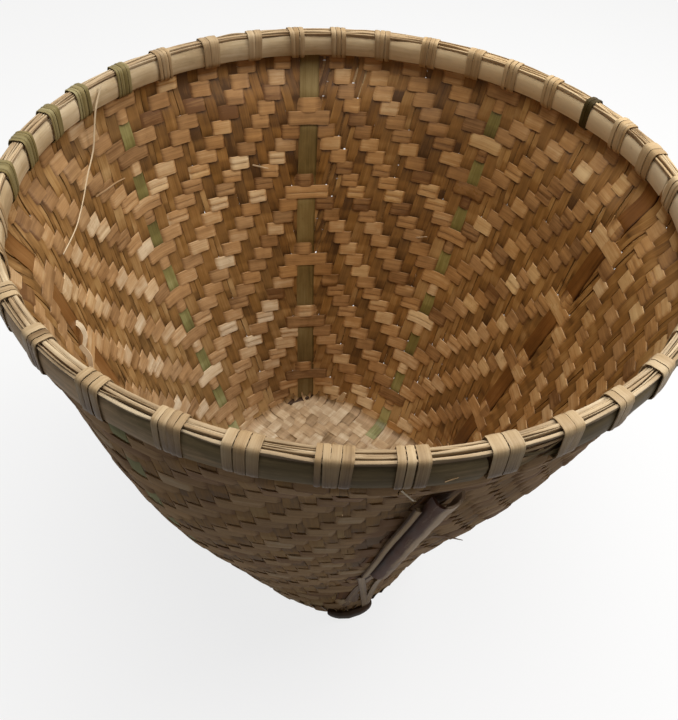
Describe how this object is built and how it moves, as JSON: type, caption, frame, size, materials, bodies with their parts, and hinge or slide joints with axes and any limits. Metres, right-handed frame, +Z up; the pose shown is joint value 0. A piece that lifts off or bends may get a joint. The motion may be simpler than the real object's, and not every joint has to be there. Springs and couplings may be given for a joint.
{
  "type": "carrying basket",
  "caption": "Open carrying basket of split bamboo with tapered twill-woven walls, a round lashed rim, a square base on corner feet and a half-culm corner guard.",
  "frame": {"origin": "on the surface that the basket stands on, under the centre of the round mouth, which is the middle of the footprint of the whole basket", "axes": "+Z up along the mouth's axis; -Y towards the corner that carries the half-culm guard; +X to the right when that corner is in front. The four corners of the base lie near +X, +Y, -X and -Y."},
  "size_m": [0.4646, 0.4645, 0.3681],
  "materials": {
    "wall_weave": "tan split-bamboo weave, matt with a light sheen",
    "base_weave": "pale straw split bamboo, matt",
    "corner_rib": "dark brown split bamboo, slightly worn",
    "inner_hoop": "beige bamboo skin, satin",
    "outer_hoop": "dark olive bamboo skin, satin, worn",
    "rim_filler": "beige bamboo splints, matt",
    "lashing_skin": "pale beige bamboo skin strips, satin",
    "corner_foot": "dark reddish brown bamboo, rubbed smooth",
    "guard_culm": "dark brown half culm, weathered",
    "guard_splint": "dull pale splint, matt",
    "guard_tie": "pale bamboo strip, matt"
  },
  "bodies": {
    "root": {"woven_wall": "wall_weave", "woven_base": "base_weave", "corner_rib_right": "corner_rib", "corner_rib_back": "corner_rib", "corner_rib_left": "corner_rib", "corner_rib_front": "corner_rib", "inner_hoop": "inner_hoop", "outer_hoop": "outer_hoop", "rim_filler_inner": "rim_filler", "rim_filler_middle": "rim_filler", "rim_filler_outer": "rim_filler", "rim_lashing_01": "lashing_skin", "rim_lashing_02": "lashing_skin", "rim_lashing_03": "lashing_skin", "rim_lashing_04": "lashing_skin", "rim_lashing_05": "lashing_skin", "rim_lashing_06": "lashing_skin", "rim_lashing_07": "lashing_skin", "rim_lashing_08": "lashing_skin", "rim_lashing_09": "lashing_skin", "rim_lashing_10": "lashing_skin", "rim_lashing_11": "lashing_skin", "rim_lashing_12": "lashing_skin", "rim_lashing_13": "lashing_skin", "rim_lashing_14": "lashing_skin", "rim_lashing_15": "lashing_skin", "rim_lashing_16": "lashing_skin", "rim_lashing_17": "lashing_skin", "rim_lashing_18": "lashing_skin", "rim_lashing_19": "lashing_skin", "rim_lashing_20": "lashing_skin", "rim_lashing_21": "lashing_skin", "rim_lashing_22": "lashing_skin", "rim_lashing_23": "lashing_skin", "rim_lashing_24": "lashing_skin", "rim_lashing_25": "lashing_skin", "rim_lashing_26": "lashing_skin", "rim_lashing_27": "lashing_skin", "rim_lashing_28": "lashing_skin", "rim_lashing_29": "lashing_skin", "rim_lashing_30": "lashing_skin", "rim_lashing_31": "lashing_skin", "rim_lashing_32": "lashing_skin", "rim_lashing_33": "lashing_skin", "rim_lashing_34": "lashing_skin", "rim_lashing_35": "lashing_skin", "rim_lashing_36": "lashing_skin", "corner_foot_right": "corner_foot", "corner_foot_back": "corner_foot", "corner_foot_left": "corner_foot", "corner_foot_front": "corner_foot", "corner_guard": "guard_culm", "guard_splint": "guard_splint", "guard_tie": "guard_tie"}
  },
  "joints": []
}
